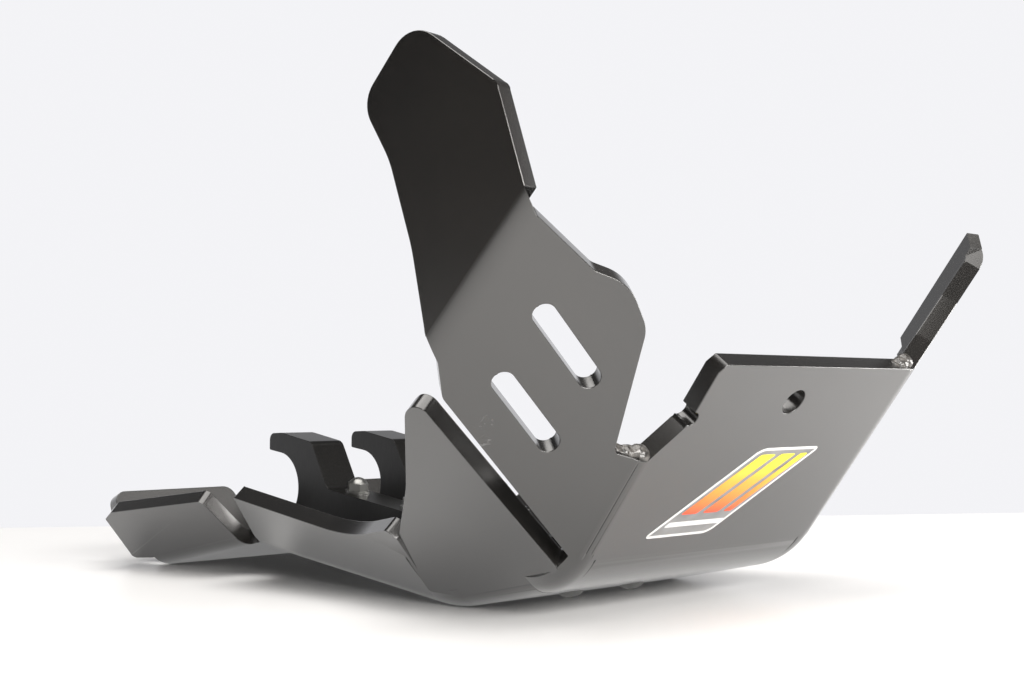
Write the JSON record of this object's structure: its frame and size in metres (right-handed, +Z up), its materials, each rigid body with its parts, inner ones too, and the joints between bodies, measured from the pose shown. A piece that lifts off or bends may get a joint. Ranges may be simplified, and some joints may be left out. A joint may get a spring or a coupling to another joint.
{
  "type": "motorcycle skid plate",
  "caption": "Folded thick plastic skid plate with tall side wings, belly and tail wings, and hook clamps on its belly for a frame tube.",
  "frame": {"origin": "on the floor under the middle of the part's overall box, as it rests in the picture", "axes": "+X towards the motorcycle's left side, +Y towards its rear, +Z up"},
  "size_m": [0.336, 0.3938, 0.2228],
  "materials": {
    "sheet_plastic": "black thick sheet plastic with a satin gloss and sawn edges",
    "clamp_plastic": "black milled plastic",
    "zinc_steel": "bright zinc plated steel"
  },
  "bodies": {
    "root": {"folded_sheet": "sheet_plastic", "hook_clamp_right": "clamp_plastic", "hook_clamp_left": "clamp_plastic", "front_block": "clamp_plastic", "clamp_screw_right_rear": "zinc_steel", "clamp_screw_right_front": "zinc_steel", "clamp_screw_left_rear": "zinc_steel", "clamp_screw_left_front": "zinc_steel", "clamp_washer_right_rear": "zinc_steel", "clamp_washer_right_front": "zinc_steel", "clamp_washer_left_rear": "zinc_steel", "clamp_washer_left_front": "zinc_steel", "clamp_nut_right_rear": "zinc_steel", "clamp_nut_right_front": "zinc_steel", "clamp_nut_left_rear": "zinc_steel", "clamp_nut_left_front": "zinc_steel", "front_screw_right": "zinc_steel", "front_screw_left": "zinc_steel", "front_washer_right": "zinc_steel", "front_washer_left": "zinc_steel", "front_nut_right": "zinc_steel", "front_nut_left": "zinc_steel"}
  },
  "joints": []
}
